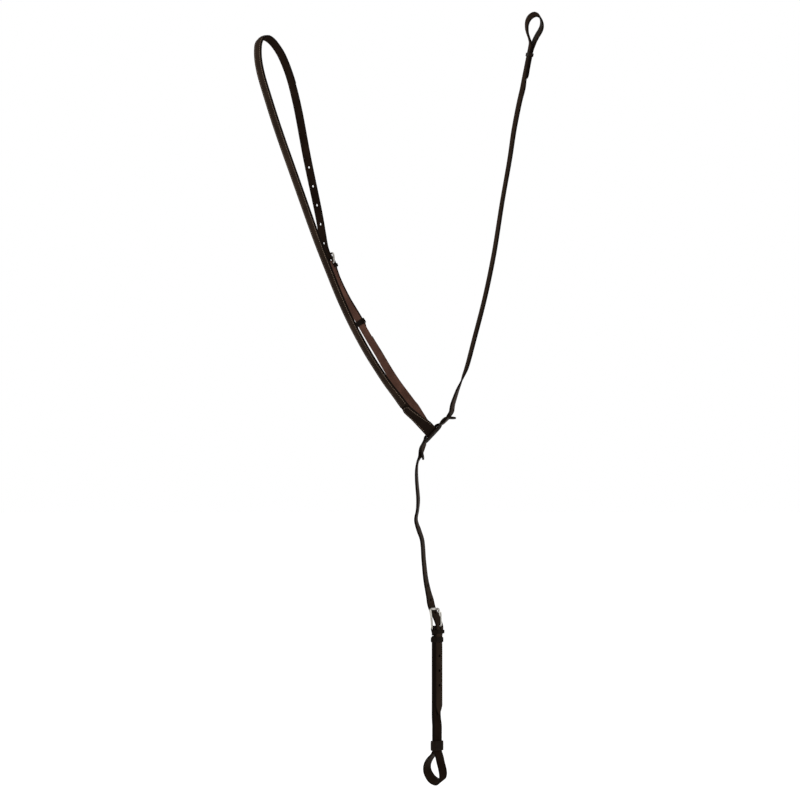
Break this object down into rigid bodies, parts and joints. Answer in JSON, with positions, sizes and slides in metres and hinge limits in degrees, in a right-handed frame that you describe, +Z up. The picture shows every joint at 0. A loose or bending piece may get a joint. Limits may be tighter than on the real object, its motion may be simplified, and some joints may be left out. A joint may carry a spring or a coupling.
{
  "type": "standing martingale",
  "caption": "Standing martingale of flat leather: a raised, buckled neck loop, a rubber stop at the chest, and a long strap from a noseband loop to a buckled girth loop.",
  "frame": {"origin": "inner surface of the neck loop's top bend, where a hook or the crest of the neck holds it up", "axes": "+Z up along the hanging length, +X from the neck loop towards the nose loop, +Y across, away from the near side"},
  "size_m": [0.4924, 0.0715, 1.3138],
  "materials": {
    "dark_leather": "smooth grain, satin",
    "brown_leather": "flesh side, dull",
    "patch_leather": "smooth grain, satin",
    "steel": "polished",
    "stop_rubber": "matt"
  },
  "bodies": {
    "neck": {"neck_strap": "dark_leather", "neck_facing_near": "dark_leather", "neck_filler_near": "brown_leather", "neck_buckle_strap": "brown_leather", "neck_facing_far": "dark_leather", "neck_filler_far": "brown_leather", "neck_fixed_keeper": "dark_leather", "chest_loop": "patch_leather"},
    "neck_frame": {"neck_buckle_frame": "steel"},
    "neck_tongue": {"neck_buckle_tongue": "steel"},
    "neck_runner": {"neck_runner_keeper": "dark_leather"},
    "lower_strap": {"martingale_strap": "dark_leather", "nose_keeper": "dark_leather", "martingale_stop": "stop_rubber", "girth_strap": "dark_leather", "girth_fixed_keeper": "dark_leather", "girth_loop_keeper": "dark_leather"},
    "girth_frame": {"girth_buckle_frame": "steel"},
    "girth_tongue": {"girth_buckle_tongue": "steel"},
    "girth_runner": {"girth_runner_keeper": "dark_leather"}
  },
  "joints": [
    {"name": "neck_frame_swing", "type": "hinge", "parent": "neck", "child": "neck_frame", "pos_m": [0.10764, 0.02557, -0.38101], "axis": [-0.6448, 0.7283, -0.2321], "range_deg": [0, 12]},
    {"name": "neck_tongue_lift", "type": "hinge", "parent": "neck_frame", "child": "neck_tongue", "pos_m": [0.10764, 0.02557, -0.38101], "axis": [-0.6448, 0.7283, -0.2321], "range_deg": [0, 12]},
    {"name": "neck_runner_slide", "type": "slide", "parent": "neck", "child": "neck_runner", "axis": [0.5092, -0.011, -0.8606], "range_m": [-0.035, 0.014]},
    {"name": "strap_slide", "type": "slide", "parent": "neck", "child": "lower_strap", "axis": [-0.682, 0, -0.7314], "range_m": [-0.003, 0.003]},
    {"name": "girth_frame_swing", "type": "hinge", "parent": "lower_strap", "child": "girth_frame", "pos_m": [0.28867, 0.00098, -1.0022], "axis": [0.5948, 0.8039, 0], "range_deg": [0, 12]},
    {"name": "girth_tongue_lift", "type": "hinge", "parent": "girth_frame", "child": "girth_tongue", "pos_m": [0.28867, 0.00098, -1.0022], "axis": [0.5948, 0.8039, 0], "range_deg": [0, 12]},
    {"name": "girth_runner_slide", "type": "slide", "parent": "lower_strap", "child": "girth_runner", "axis": [0, 0, -1], "range_m": [0, 0.115]}
  ]
}
